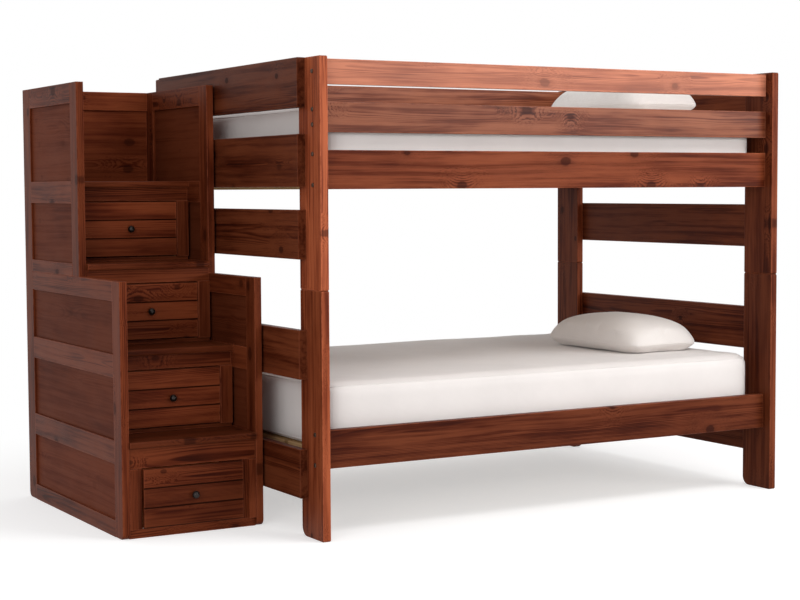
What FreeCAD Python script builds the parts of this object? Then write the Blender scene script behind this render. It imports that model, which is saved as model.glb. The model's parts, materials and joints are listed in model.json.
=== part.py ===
import FreeCAD, Part
import os

# Bunk bed with storage stairs. All sizes are millimetres.
# The model is drawn in a bench frame and moved to the middle of its footprint at the end.
# Bench frame: x = 0 is the outer face of the left-hand posts, y = 0 is the front edge of the
# front posts, z = 0 is the floor. +X runs along the bed, +Y runs from the front to the back.

Vec = FreeCAD.Vector

# ---------------------------------------------------------------- bed: overall
MATTRESS_LENGTH = 2032.0
MATTRESS_WIDTH = 1372.0
MATTRESS_END_CLEARANCE = 14.0    # mattress end to post
MATTRESS_SIDE_CLEARANCE = 7.0    # mattress side to rail
EDGE_EASE = 3.0               # rounding along the long edges of every board
GLIDE_CLEARANCE = 0.3         # running gap between a drawer and what carries it

# ---------------------------------------------------------------- bed: posts
POST_THICKNESS = 32.0         # along X
POST_WIDTH = 168.0            # along Y
LOWER_POST_HEIGHT = 900.0
UPPER_POST_HEIGHT = 830.0
FOOT_RADIUS = 36.0            # rounded inner corner of each foot
POST_CORNER_RADIUS = 7.0      # the other corners of each post plank
STACKING_PIN_RADIUS = 6.0
STACKING_PIN_DEPTH = 50.0     # into each post
PIN_CLEARANCE = 0.25

# ---------------------------------------------------------------- bed: end boards
END_BOARD_THICKNESS = 32.0
END_BOARD_WIDTH = 178.0
DECK_BOARD_WIDTH = 189.0      # the wider board in front of the upper deck
END_BOARD_INSET = 116.0       # from the post's outer edge to the end of the board
FOOT_BOARD_Z = 144.0          # underside of each lower board
LOWER_HEADBOARD_Z = 576.0
MIDDLE_BOARD_RISE = 109.0     # underside of each upper board above the seam of the posts
DECK_BOARD_RISE = 369.0

# ---------------------------------------------------------------- bed: rails
RAIL_THICKNESS = 32.0
RAIL_SETBACK = 42.0           # rail face behind the post's outer edge
SIDE_RAIL_WIDTH = 140.0
MID_GUARD_WIDTH = 108.0
TOP_GUARD_WIDTH = 90.0
LOWER_RAIL_Z = 256.0          # underside of the lower side rail
UPPER_RAIL_DROP = 9.0         # upper side rail below the underside of the deck boards
TOP_GUARD_DROP = 7.0          # top guard below the top of the posts

# ---------------------------------------------------------------- bed: rail bolts
BOLT_RADIUS = 4.0
BOLT_HEAD_RADIUS = 8.0
BOLT_HEAD_THICKNESS = 4.0
BOLT_HEAD_CROWN = 1.5
BOLT_REACH = 62.0             # into the end of the rail
BOLT_CLEARANCE = 0.25
NUT_RADIUS = 7.0              # barrel nut across the rail
NUT_LENGTH = 24.0
NUT_INSET = 50.0              # from the rail end to the nut's middle
NUT_CLEARANCE = 0.2
SIDE_RAIL_BOLT_SPACING = 110.0
MID_GUARD_BOLT_SPACING = 54.0

# ---------------------------------------------------------------- bed: deck
LEDGER_DEPTH = 32.0
LEDGER_HEIGHT = 38.0
SLAT_WIDTH = 89.0
SLAT_THICKNESS = 19.0
SLAT_COUNT = 14
SLAT_END_MARGIN = 30.0        # first slat from the post
SLAT_SIDE_CLEARANCE = 2.0     # slat end to rail

# ---------------------------------------------------------------- bedding
MATTRESS_THICKNESS = 254.0
MATTRESS_CORNER_RADIUS = 40.0
MATTRESS_EDGE_RADIUS = 34.0
PILLOW_LENGTH = 720.0         # across the bed
PILLOW_WIDTH = 430.0
PILLOW_THICKNESS = 150.0
PILLOW_CORNER_RADIUS = 110.0
PILLOW_EDGE_RADIUS = 68.0
PILLOW_HEAD_GAP = 85.0        # pillow to the head end of the mattress
PILLOW_FRONT_GAP = 166.0      # pillow to the front edge of the mattress

# ---------------------------------------------------------------- stairs: overall
STAIR_WIDTH = 559.0
STAIR_GAP = 10.0              # stair side to the faces of the end boards
STAIR_REAR_INSET = 51.0       # stair back inside the back edge of the back posts
LANDING_DEPTH = 432.0         # from the highest face frame to the back
HIGH_PART_DEPTH = 652.0       # depth of the high part of the sides
LOW_PART_DROP = 48.0          # low part of the sides below the third tread
LANDING_GUARD_HEIGHT = 373.0  # high part of the sides above the landing
SIDE_THICKNESS = 29.0
BASE_CORNER_RADIUS = 24.0

# ---------------------------------------------------------------- stairs: steps
STEP_COUNT = 4
FIRST_RISE = 354.0
STEP_RISE = 314.0
STEP_RUN = 205.0
TREAD_THICKNESS = 25.0
NOSING_OVERHANG = 8.0
NOSING_RADIUS = 8.0

# ---------------------------------------------------------------- stairs: side frames
FRONT_STILE_WIDTH = 76.0
REAR_STILE_WIDTH = 90.0
TOP_RAIL_HEIGHT = 77.0
CROSS_RAIL_HEIGHT = 85.0
LOW_TOP_RAIL_HEIGHT = 74.0
BASE_RAIL_HEIGHT = 62.0
PANEL_THICKNESS = 10.0
PANEL_RECESS = 8.0            # panel face behind the outer face of its frame
PANEL_TONGUE = 9.0            # panel edge held in the groove of its frame
GROOVE_CLEARANCE = 0.2

# ---------------------------------------------------------------- stairs: face frames
FACE_THICKNESS = 22.0
FACE_STILE_WIDTH = 51.0
FACE_RAIL_RECESS = 12.0       # rail face behind the stile faces
LOWEST_STILE_FACE_WIDTH = 30.0   # full-thickness strip of the two lowest stiles
LOWEST_STILE_REBATE = 14.0       # depth of the step beside it

# ---------------------------------------------------------------- stairs: drawers
DRAWER_GAP = 3.0              # around each drawer front
DRAWER_FRONT_HEIGHT = 216.0
DRAWER_FRONT_THICKNESS = 20.0
FIRST_DRAWER_Z = 36.0         # underside of the lowest drawer front
DRAWER_ABOVE_TREAD = 17.0     # underside of the other fronts above their treads
DRAWER_PLANKS = 3
PLANK_GROOVE_WIDTH = 6.0
PLANK_GROOVE_DEPTH = 3.0
BOX_REAR_CLEARANCE = 12.0     # box to the stair back
BOX_HEIGHT = 160.0
BOX_WALL = 12.0
BOX_BOTTOM_THICKNESS = 6.0
BOX_BOTTOM_RAISE = 10.0       # bottom panel above the lower edge of the walls
BOX_GROOVE = 6.0
BOX_SIDE_CLEARANCE = 6.0      # box side to the edge of the opening
BOX_RAISE = 22.0              # box above the lower edge of its front
RUNNER_REAR_CLEARANCE = 5.0   # runner to the stair back
RUNNER_LEDGE = 20.0           # ledge under the box side
RUNNER_LEDGE_THICKNESS = 18.0
RUNNER_GUIDE_HEIGHT = 40.0    # guide above the ledge
RUNNER_LAP = 30.0             # guide over the rail of the side frame below it
RUNNER_SIDE_CLEARANCE = 1.0
KNOB_RADIUS = 14.0
KNOB_NECK_RADIUS = 7.0
KNOB_LENGTH = 27.0
KNOB_BEVEL = 4.0              # cone from the neck out to the head

# ---------------------------------------------------------------- stair to bed ties
TIE_RADIUS = 4.0
TIE_HEAD_RADIUS = 9.0
TIE_HEAD_THICKNESS = 5.0
TIE_SPACER_RADIUS = 12.0
TIE_REACH = 24.0              # into the end board or post
TIE_CLEARANCE = 0.25

# ---------------------------------------------------------------- worked-out places
RAIL_LENGTH = MATTRESS_LENGTH + 2 * MATTRESS_END_CLEARANCE
BED_DEPTH = MATTRESS_WIDTH + 2 * (MATTRESS_SIDE_CLEARANCE + RAIL_SETBACK + RAIL_THICKNESS)
POST_TOP = LOWER_POST_HEIGHT + UPPER_POST_HEIGHT
DECK_BOARD_Z = LOWER_POST_HEIGHT + DECK_BOARD_RISE
UPPER_RAIL_Z = DECK_BOARD_Z - UPPER_RAIL_DROP
TOP_GUARD_Z = POST_TOP - TOP_GUARD_DROP - TOP_GUARD_WIDTH
MID_GUARD_Z = (UPPER_RAIL_Z + SIDE_RAIL_WIDTH + TOP_GUARD_Z - MID_GUARD_WIDTH) / 2
RIGHT_POST_X = POST_THICKNESS + RAIL_LENGTH
POSTS_RIGHT = RIGHT_POST_X + POST_THICKNESS
BED_LEFT = -END_BOARD_THICKNESS
BED_RIGHT = POSTS_RIGHT + END_BOARD_THICKNESS
STAIR_RIGHT = BED_LEFT - STAIR_GAP
STAIR_LEFT = STAIR_RIGHT - STAIR_WIDTH
STAIR_INNER_LEFT = STAIR_LEFT + SIDE_THICKNESS
STAIR_INNER_RIGHT = STAIR_RIGHT - SIDE_THICKNESS
STAIR_MIDDLE_X = (STAIR_LEFT + STAIR_RIGHT) / 2
STAIR_REAR_Y = BED_DEPTH - STAIR_REAR_INSET
STAIR_BACK_INNER_Y = STAIR_REAR_Y - SIDE_THICKNESS
REAR_STILE_Y = STAIR_REAR_Y - REAR_STILE_WIDTH
HIGH_PART_Y = STAIR_REAR_Y - HIGH_PART_DEPTH
STAIR_FRONT_Y = STAIR_BACK_INNER_Y - LANDING_DEPTH - (STEP_COUNT - 1) * STEP_RUN
LANDING_TOP = FIRST_RISE + (STEP_COUNT - 1) * STEP_RISE
LOW_PART_TOP = LANDING_TOP - STEP_RISE - LOW_PART_DROP
HIGH_PART_TOP = LANDING_TOP + LANDING_GUARD_HEIGHT
BOX_DEPTH = LANDING_DEPTH - DRAWER_FRONT_THICKNESS - BOX_REAR_CLEARANCE
RUNNER_LENGTH = LANDING_DEPTH - FACE_THICKNESS - RUNNER_REAR_CLEARANCE
OPENING_LEFT = STAIR_INNER_LEFT + FACE_STILE_WIDTH
OPENING_RIGHT = STAIR_INNER_RIGHT - FACE_STILE_WIDTH
BED_MIDDLE_Y = BED_DEPTH / 2
ORIGIN = Vec((STAIR_LEFT + BED_RIGHT) / 2, BED_MIDDLE_Y, 0)

END_BOARDS = (
    ("foot_board", FOOT_BOARD_Z, END_BOARD_WIDTH),
    ("lower_headboard", LOWER_HEADBOARD_Z, END_BOARD_WIDTH),
    ("middle_board", LOWER_POST_HEIGHT + MIDDLE_BOARD_RISE, END_BOARD_WIDTH),
    ("deck_board", DECK_BOARD_Z, DECK_BOARD_WIDTH),
    ("top_board", POST_TOP - END_BOARD_WIDTH, END_BOARD_WIDTH),
)
SIDE_RAIL_BOLTS = (-SIDE_RAIL_BOLT_SPACING / 2, SIDE_RAIL_BOLT_SPACING / 2)
MID_GUARD_BOLTS = (-MID_GUARD_BOLT_SPACING / 2, MID_GUARD_BOLT_SPACING / 2)
TOP_GUARD_BOLTS = (0.0,)
RAILS = (
    ("lower_side_rail", LOWER_RAIL_Z, SIDE_RAIL_WIDTH, SIDE_RAIL_BOLTS),
    ("upper_side_rail", UPPER_RAIL_Z, SIDE_RAIL_WIDTH, SIDE_RAIL_BOLTS),
    ("mid_guard_rail", MID_GUARD_Z, MID_GUARD_WIDTH, MID_GUARD_BOLTS),
    ("top_guard_rail", TOP_GUARD_Z, TOP_GUARD_WIDTH, TOP_GUARD_BOLTS),
)
X_AXIS = Vec(1, 0, 0)
Y_AXIS = Vec(0, 1, 0)
Z_AXIS = Vec(0, 0, 1)


# ================================================================ shape helpers
def block(x_low, x_high, y_low, y_high, z_low, z_high):
    """Box between two corners."""
    return Part.makeBox(x_high - x_low, y_high - y_low, z_high - z_low, Vec(x_low, y_low, z_low))


def edges_along(shape, axis):
    """Straight edges parallel to an axis."""
    found = []
    for edge in shape.Edges:
        if len(edge.Vertexes) != 2:
            continue
        run = edge.Vertexes[1].Point - edge.Vertexes[0].Point
        if abs(abs(run.normalize() * axis) - 1) < 1e-6:
            found.append(edge)
    return found


def board(x_low, x_high, y_low, y_high, z_low, z_high, axis, ease=EDGE_EASE):
    """Board whose four long edges, along the axis, are rounded over."""
    blank = block(x_low, x_high, y_low, y_high, z_low, z_high)
    return blank.makeFillet(ease, edges_along(blank, axis))


def rod(radius, start, axis, length):
    return Part.makeCylinder(radius, length, start, axis)


def mirrored_in_depth(shape):
    """Copy of a front piece on the back of the bed."""
    return shape.mirror(Vec(0, BED_MIDDLE_Y, 0), Y_AXIS)


def mirrored_in_length(shape):
    """Copy of a left-hand bed piece at the right-hand end."""
    return shape.mirror(Vec(POSTS_RIGHT / 2, 0, 0), X_AXIS)


def mirrored_in_stair(shape):
    """Copy of a left-hand stair piece on the right-hand side."""
    return shape.mirror(Vec(STAIR_MIDDLE_X, 0, 0), X_AXIS)


def at_four_corners(pieces):
    """Copies of front-left pieces at each corner of the bed."""
    left = pieces + [mirrored_in_depth(piece) for piece in pieces]
    return left + [mirrored_in_length(piece) for piece in left]


# ================================================================ bed
def bolt_heights():
    """Heights of the bolts that hold the rails to one post."""
    return [z + width / 2 + offset for _, z, width, offsets in RAILS for offset in offsets]


def rail_middle_y():
    return RAIL_SETBACK + RAIL_THICKNESS / 2


def post_plank(z_low, z_high, foot_radius):
    """Front-left post plank: a flat plank with rounded corners and eased faces."""
    plank = block(0, POST_THICKNESS, 0, POST_WIDTH, z_low, z_high)
    foot = []
    corners = []
    for edge in edges_along(plank, X_AXIS):
        at = edge.Vertexes[0].Point
        is_foot = foot_radius > 0 and at.z < (z_low + z_high) / 2 and at.y > POST_WIDTH / 2
        (foot if is_foot else corners).append(edge)
    if foot:
        plank = plank.makeFillet(foot_radius, foot)
        corners = [edge for edge in edges_along(plank, X_AXIS) if touches_square_corner(edge, z_low, z_high)]
    plank = plank.makeFillet(POST_CORNER_RADIUS, corners)
    outline = [edge for edge in plank.Edges if lies_on_wide_face(edge)]
    return plank.makeFillet(EDGE_EASE, outline)


def touches_square_corner(edge, z_low, z_high):
    """True for an edge at one of the plank's corners that is still square."""
    at = edge.Vertexes[0].Point
    return at.y in (0, POST_WIDTH) and at.z in (z_low, z_high)


def lies_on_wide_face(edge):
    """True for an edge of the plank's outline on either wide face."""
    spots = [vertex.Point.x for vertex in edge.Vertexes]
    return max(spots) - min(spots) < 1e-6


def front_left_posts():
    seam = LOWER_POST_HEIGHT
    lower = post_plank(0, seam, FOOT_RADIUS)
    upper = post_plank(seam, seam + UPPER_POST_HEIGHT, 0)
    pin_hole = rod(
        STACKING_PIN_RADIUS + PIN_CLEARANCE,
        Vec(POST_THICKNESS / 2, POST_WIDTH / 2, seam - STACKING_PIN_DEPTH),
        Z_AXIS,
        2 * STACKING_PIN_DEPTH,
    )
    lower = lower.cut(pin_hole)
    upper = upper.cut(pin_hole)
    for z in bolt_heights():
        hole = bolt_hole(z, 0, POST_THICKNESS)
        if z < seam:
            lower = lower.cut(hole)
        else:
            upper = upper.cut(hole)
    return lower, upper


def stacking_pin():
    """Steel pin that keeps an upper post on its lower post."""
    return rod(
        STACKING_PIN_RADIUS,
        Vec(POST_THICKNESS / 2, POST_WIDTH / 2, LOWER_POST_HEIGHT - STACKING_PIN_DEPTH),
        Z_AXIS,
        2 * STACKING_PIN_DEPTH,
    )


def end_board(z, width):
    """Left-hand board across the outer faces of two posts."""
    return board(
        BED_LEFT, 0, END_BOARD_INSET, BED_DEPTH - END_BOARD_INSET, z, z + width, Y_AXIS
    )


def bolt_hole(z, start, length):
    return rod(BOLT_RADIUS + BOLT_CLEARANCE, Vec(start, rail_middle_y(), z), X_AXIS, length)


def nut_blank(z, clearance):
    """Cylinder across a left-hand rail end, open to the inner face of the rail."""
    rear = RAIL_SETBACK + RAIL_THICKNESS
    start = Vec(POST_THICKNESS + NUT_INSET, rear - NUT_LENGTH - clearance, z)
    return rod(NUT_RADIUS + clearance, start, Y_AXIS, NUT_LENGTH + clearance)


def barrel_nut(z):
    """Barrel nut that a rail bolt screws into."""
    return nut_blank(z, 0.0).cut(bolt_hole(z, POST_THICKNESS, BOLT_REACH + BOLT_CLEARANCE))


def front_rail(z, width, offsets):
    """Rail between the posts, drilled at both ends for its bolts and barrel nuts."""
    near = RAIL_SETBACK
    rail = board(POST_THICKNESS, RIGHT_POST_X, near, near + RAIL_THICKNESS, z, z + width, X_AXIS)
    for offset in offsets:
        height = z + width / 2 + offset
        for hole in (
            bolt_hole(height, POST_THICKNESS, BOLT_REACH + BOLT_CLEARANCE),
            nut_blank(height, NUT_CLEARANCE),
        ):
            rail = rail.cut(hole).cut(mirrored_in_length(hole))
    return rail


def rail_bolt(z):
    """Bolt with a domed head, through the left-hand post into a rail end."""
    centre = rail_middle_y()
    half_edge = BOLT_HEAD_RADIUS - BOLT_HEAD_CROWN
    outline = Part.makePolygon([
        Vec(0, 0, 0),
        Vec(-BOLT_HEAD_THICKNESS, 0, 0),
        Vec(-BOLT_HEAD_THICKNESS, half_edge, 0),
        Vec(-BOLT_HEAD_THICKNESS + BOLT_HEAD_CROWN, BOLT_HEAD_RADIUS, 0),
        Vec(0, BOLT_HEAD_RADIUS, 0),
        Vec(0, 0, 0),
    ])
    head = Part.Face(outline).revolve(Vec(0, 0, 0), X_AXIS, 360)
    head.translate(Vec(0, centre, z))
    shank = rod(BOLT_RADIUS, Vec(0, centre, z), X_AXIS, POST_THICKNESS + BOLT_REACH)
    return head.fuse(shank).removeSplitter()


def ledger(rail_z):
    """Strip along the inner face of a side rail that carries the slats."""
    inner = RAIL_SETBACK + RAIL_THICKNESS
    return block(POST_THICKNESS, RIGHT_POST_X, inner, inner + LEDGER_DEPTH, rail_z, rail_z + LEDGER_HEIGHT)


def slats(rail_z):
    """Evenly spaced slats resting on the two ledgers."""
    near = RAIL_SETBACK + RAIL_THICKNESS + SLAT_SIDE_CLEARANCE
    first = POST_THICKNESS + SLAT_END_MARGIN
    pitch = (RAIL_LENGTH - 2 * SLAT_END_MARGIN - SLAT_WIDTH) / (SLAT_COUNT - 1)
    bottom = rail_z + LEDGER_HEIGHT
    row = []
    for index in range(SLAT_COUNT):
        left = first + index * pitch
        row.append(block(left, left + SLAT_WIDTH, near, BED_DEPTH - near, bottom, bottom + SLAT_THICKNESS))
    return row


def deck_top(rail_z):
    return rail_z + LEDGER_HEIGHT + SLAT_THICKNESS


def soft_block(x_low, x_high, y_low, y_high, z_low, z_high, corner_radius, edge_radius):
    """Closed soft body: a block with rounded upright corners and rounded rims."""
    body = block(x_low, x_high, y_low, y_high, z_low, z_high)
    body = body.makeFillet(corner_radius, edges_along(body, Z_AXIS))
    rims = [edge for edge in body.Edges if abs(edge.BoundBox.ZLength) < 1e-6]
    return body.makeFillet(edge_radius, rims)


def mattress(rail_z):
    left = POST_THICKNESS + MATTRESS_END_CLEARANCE
    near = BED_MIDDLE_Y - MATTRESS_WIDTH / 2
    low = deck_top(rail_z)
    return soft_block(
        left, left + MATTRESS_LENGTH, near, near + MATTRESS_WIDTH, low, low + MATTRESS_THICKNESS,
        MATTRESS_CORNER_RADIUS, MATTRESS_EDGE_RADIUS,
    )


def pillow(rail_z):
    """Pillow lying across the head end of a mattress."""
    right = RIGHT_POST_X - MATTRESS_END_CLEARANCE - PILLOW_HEAD_GAP
    near = BED_MIDDLE_Y - MATTRESS_WIDTH / 2 + PILLOW_FRONT_GAP
    low = deck_top(rail_z) + MATTRESS_THICKNESS + GLIDE_CLEARANCE
    return soft_block(
        right - PILLOW_WIDTH, right, near, near + PILLOW_LENGTH, low, low + PILLOW_THICKNESS,
        PILLOW_CORNER_RADIUS, PILLOW_EDGE_RADIUS,
    )


# ================================================================ stairs
def tread_top(step):
    """Height of tread 1 to STEP_COUNT; step 0 is the floor."""
    return 0.0 if step == 0 else FIRST_RISE + (step - 1) * STEP_RISE


def face_y(step):
    """Front plane of the face frame under a tread."""
    return STAIR_FRONT_Y + (step - 1) * STEP_RUN


def drawer_bottom(step):
    return FIRST_DRAWER_Z if step == 1 else tread_top(step - 1) + DRAWER_ABOVE_TREAD


def side_frame_rails():
    """Front end and height range of each rail of a side frame; all end at the rear stile."""
    low_front = STAIR_FRONT_Y + FRONT_STILE_WIDTH
    high_front = HIGH_PART_Y + FRONT_STILE_WIDTH
    return (
        (low_front, 0.0, BASE_RAIL_HEIGHT),
        (low_front, tread_top(1) - CROSS_RAIL_HEIGHT, tread_top(1)),
        (low_front, tread_top(2) - CROSS_RAIL_HEIGHT, tread_top(2)),
        (low_front, LOW_PART_TOP - LOW_TOP_RAIL_HEIGHT, LOW_PART_TOP),
        (high_front, LOW_PART_TOP, LANDING_TOP - STEP_RISE),
        (high_front, LANDING_TOP - CROSS_RAIL_HEIGHT, LANDING_TOP),
        (high_front, HIGH_PART_TOP - TOP_RAIL_HEIGHT, HIGH_PART_TOP),
    )


def side_panel_bays():
    """Front end and height range of each open bay between two rails of a side frame."""
    rails = side_frame_rails()
    bays = []
    for lower, upper in zip(rails, rails[1:]):
        if upper[1] - lower[2] > PANEL_TONGUE:
            bays.append((upper[0], lower[2], upper[1]))
    return bays


def panel_block(x_low, front, rear, z_low, z_high, grow):
    return block(
        x_low - (grow - PANEL_TONGUE), x_low + PANEL_THICKNESS + (grow - PANEL_TONGUE),
        front - grow, rear + grow, z_low - grow, z_high + grow,
    )


def left_side():
    """Left side of the stairs: stiles and rails around thin panels held in grooves."""
    outer = STAIR_LEFT
    inner = STAIR_INNER_LEFT
    members = [
        block(outer, inner, STAIR_FRONT_Y, STAIR_FRONT_Y + FRONT_STILE_WIDTH, 0, LOW_PART_TOP),
        block(outer, inner, REAR_STILE_Y, STAIR_REAR_Y, 0, HIGH_PART_TOP),
    ]
    members = [rounded_foot(member) for member in members]
    members.append(board(
        outer, inner, HIGH_PART_Y, HIGH_PART_Y + FRONT_STILE_WIDTH, LOW_PART_TOP, HIGH_PART_TOP, Z_AXIS
    ))
    for front, z_low, z_high in side_frame_rails():
        if front < HIGH_PART_Y and z_high == LOW_PART_TOP:
            members.append(board(outer, inner, front, REAR_STILE_Y, z_low, z_high, Y_AXIS))
        else:
            members.append(block(outer, inner, front, REAR_STILE_Y, z_low, z_high))
    panels = []
    for front, z_low, z_high in side_panel_bays():
        x_low = outer + PANEL_RECESS
        panels.append(panel_block(x_low, front, REAR_STILE_Y, z_low, z_high, PANEL_TONGUE))
        groove = panel_block(x_low, front, REAR_STILE_Y, z_low, z_high, PANEL_TONGUE + GROOVE_CLEARANCE)
        members = [member.cut(groove) for member in members]
    return members, panels


def rounded_foot(stile):
    """Stile with its outer bottom corner rounded and its upright edges eased."""
    front_stile = stile.BoundBox.YMin < HIGH_PART_Y
    corner_y = stile.BoundBox.YMin if front_stile else stile.BoundBox.YMax
    foot = [
        edge for edge in edges_along(stile, X_AXIS)
        if abs(edge.Vertexes[0].Point.y - corner_y) < 1e-6 and edge.Vertexes[0].Point.z < 1e-6
    ]
    stile = stile.makeFillet(BASE_CORNER_RADIUS, foot)
    upright = [
        edge for edge in edges_along(stile, Z_AXIS)
        if abs(edge.Vertexes[0].Point.y - corner_y) < 1e-6
    ]
    return stile.makeFillet(EDGE_EASE, upright)


def back_frame():
    """Back of the stairs: three rails between the sides, with a panel above and below the landing."""
    left = STAIR_INNER_LEFT
    right = STAIR_INNER_RIGHT
    rails = [
        board(left, right, STAIR_BACK_INNER_Y, STAIR_REAR_Y, z_low, z_high, X_AXIS)
        for z_low, z_high in (
            (0.0, BASE_RAIL_HEIGHT),
            (LANDING_TOP - CROSS_RAIL_HEIGHT, LANDING_TOP),
            (HIGH_PART_TOP - TOP_RAIL_HEIGHT, HIGH_PART_TOP),
        )
    ]
    panel_rear = STAIR_REAR_Y - PANEL_RECESS
    pieces = []
    for z_low, z_high in (
        (BASE_RAIL_HEIGHT, LANDING_TOP - CROSS_RAIL_HEIGHT),
        (LANDING_TOP, HIGH_PART_TOP - TOP_RAIL_HEIGHT),
    ):
        pieces.append(block(
            left, right, panel_rear - PANEL_THICKNESS, panel_rear, z_low - PANEL_TONGUE, z_high + PANEL_TONGUE
        ))
        grow = PANEL_TONGUE + GROOVE_CLEARANCE
        groove = block(
            left, right, panel_rear - PANEL_THICKNESS - GROOVE_CLEARANCE, panel_rear + GROOVE_CLEARANCE,
            z_low - grow, z_high + grow,
        )
        rails = [rail.cut(groove) for rail in rails]
    return rails + pieces


def tread(step):
    """Tread from its nosing back under the next face frame; the top one is the landing."""
    front = face_y(step) - NOSING_OVERHANG
    rear = STAIR_BACK_INNER_Y if step == STEP_COUNT else face_y(step + 1) + FACE_THICKNESS
    top = tread_top(step)
    blank = block(STAIR_INNER_LEFT, STAIR_INNER_RIGHT, front, rear, top - TREAD_THICKNESS, top)
    nose = [edge for edge in edges_along(blank, X_AXIS) if abs(edge.Vertexes[0].Point.y - front) < 1e-6]
    return blank.makeFillet(NOSING_RADIUS, nose)


def face_frame(step):
    """Two stiles beside a drawer opening, with a rail above and a sill below them."""
    front = face_y(step)
    rear = front + FACE_THICKNESS
    low = tread_top(step - 1)
    high = tread_top(step) - TREAD_THICKNESS
    opening_low = drawer_bottom(step) - DRAWER_GAP
    opening_high = drawer_bottom(step) + DRAWER_FRONT_HEIGHT + DRAWER_GAP
    stile = board(STAIR_INNER_LEFT, OPENING_LEFT, front, rear, opening_low, opening_high, Z_AXIS)
    if step == 1:
        step_start = STAIR_INNER_LEFT + LOWEST_STILE_FACE_WIDTH
        stile = stile.cut(
            block(step_start, OPENING_LEFT, front, front + LOWEST_STILE_REBATE, opening_low, opening_high)
        )
    rail_front = front + FACE_RAIL_RECESS
    return [
        stile,
        mirrored_in_stair(stile),
        block(STAIR_INNER_LEFT, STAIR_INNER_RIGHT, rail_front, rear, opening_high, high),
        block(STAIR_INNER_LEFT, STAIR_INNER_RIGHT, rail_front, rear, low, opening_low),
    ]


def drawer_front(step):
    """Drawer front of level planks with V grooves between them."""
    front = face_y(step)
    low = drawer_bottom(step)
    left = OPENING_LEFT + DRAWER_GAP
    right = OPENING_RIGHT - DRAWER_GAP
    face = board(
        left, right, front, front + DRAWER_FRONT_THICKNESS, low, low + DRAWER_FRONT_HEIGHT, X_AXIS
    )
    plank = DRAWER_FRONT_HEIGHT / DRAWER_PLANKS
    for index in range(1, DRAWER_PLANKS):
        middle = low + index * plank
        groove = Part.Face(Part.makePolygon([
            Vec(left, front, middle - PLANK_GROOVE_WIDTH / 2),
            Vec(left, front + PLANK_GROOVE_DEPTH, middle),
            Vec(left, front, middle + PLANK_GROOVE_WIDTH / 2),
            Vec(left, front, middle - PLANK_GROOVE_WIDTH / 2),
        ])).extrude(Vec(right - left, 0, 0))
        face = face.cut(groove)
    return face


def drawer_box(step):
    """Open box behind a drawer front: two sides, two ends and a grooved-in bottom."""
    left = OPENING_LEFT + BOX_SIDE_CLEARANCE
    right = OPENING_RIGHT - BOX_SIDE_CLEARANCE
    near = face_y(step) + DRAWER_FRONT_THICKNESS
    far = near + BOX_DEPTH
    low = drawer_bottom(step) + BOX_RAISE
    high = low + BOX_HEIGHT
    walls = [
        block(left, left + BOX_WALL, near, far, low, high),
        block(right - BOX_WALL, right, near, far, low, high),
        block(left + BOX_WALL, right - BOX_WALL, near, near + BOX_WALL, low, high),
        block(left + BOX_WALL, right - BOX_WALL, far - BOX_WALL, far, low, high),
    ]
    bottom_low = low + BOX_BOTTOM_RAISE
    bottom_high = bottom_low + BOX_BOTTOM_THICKNESS
    reach = BOX_WALL - BOX_GROOVE
    bottom = block(left + reach, right - reach, near + reach, far - reach, bottom_low, bottom_high)
    return [wall.cut(bottom) for wall in walls] + [bottom]


def drawer_runner(step):
    """Left-hand runner: a guide board beside the box and a ledge under the box side."""
    side = OPENING_LEFT + BOX_SIDE_CLEARANCE
    guide_side = side - RUNNER_SIDE_CLEARANCE
    near = face_y(step) + FACE_THICKNESS
    far = near + RUNNER_LENGTH
    ledge_top = drawer_bottom(step) + BOX_RAISE - GLIDE_CLEARANCE
    frame_rail_top = BASE_RAIL_HEIGHT if step == 1 else tread_top(step - 1)
    guide_low = frame_rail_top - RUNNER_LAP
    return [
        block(STAIR_INNER_LEFT, guide_side, near, far, guide_low, ledge_top + RUNNER_GUIDE_HEIGHT),
        block(guide_side, side + RUNNER_LEDGE, near, far, ledge_top - RUNNER_LEDGE_THICKNESS, ledge_top),
    ]


def drawer_knob(step):
    """Turned ball knob in the middle of a drawer front."""
    shoulder = KNOB_LENGTH - KNOB_RADIUS
    neck = Part.makeCylinder(KNOB_NECK_RADIUS, shoulder - KNOB_BEVEL, Vec(0, 0, 0), -Y_AXIS)
    bevel = Part.makeCone(
        KNOB_NECK_RADIUS, KNOB_RADIUS, KNOB_BEVEL, Vec(0, KNOB_BEVEL - shoulder, 0), -Y_AXIS
    )
    dome = Part.makeSphere(KNOB_RADIUS, Vec(0, -shoulder, 0), -Y_AXIS, 0, 90, 360)
    knob = neck.fuse([bevel, dome]).removeSplitter()
    knob.translate(Vec(STAIR_MIDDLE_X, face_y(step), drawer_bottom(step) + DRAWER_FRONT_HEIGHT / 2))
    return knob


# ================================================================ stair to bed ties
def tie_places():
    """Y and Z of each tie and the X of the face that it meets: the foot board's, or the back post's."""
    front = STAIR_FRONT_Y + FRONT_STILE_WIDTH / 2
    rear = (BED_DEPTH - END_BOARD_INSET + STAIR_REAR_Y) / 2
    middles = [z + width / 2 for _, z, width in END_BOARDS[:3]]
    return [(front, middles[0], BED_LEFT)] + [(rear, z, 0.0) for z in middles]


def tie_hole(y, z, start, end):
    return rod(TIE_RADIUS + TIE_CLEARANCE, Vec(start, y, z), X_AXIS, end - start)


def drilled_for_ties(piece, face_x):
    """Left-hand bed piece with a blind hole for each tie that meets its outer face."""
    for y, z, met_x in tie_places():
        if met_x == face_x:
            piece = piece.cut(tie_hole(y, z, face_x, face_x + TIE_REACH + TIE_CLEARANCE))
    return piece


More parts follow.
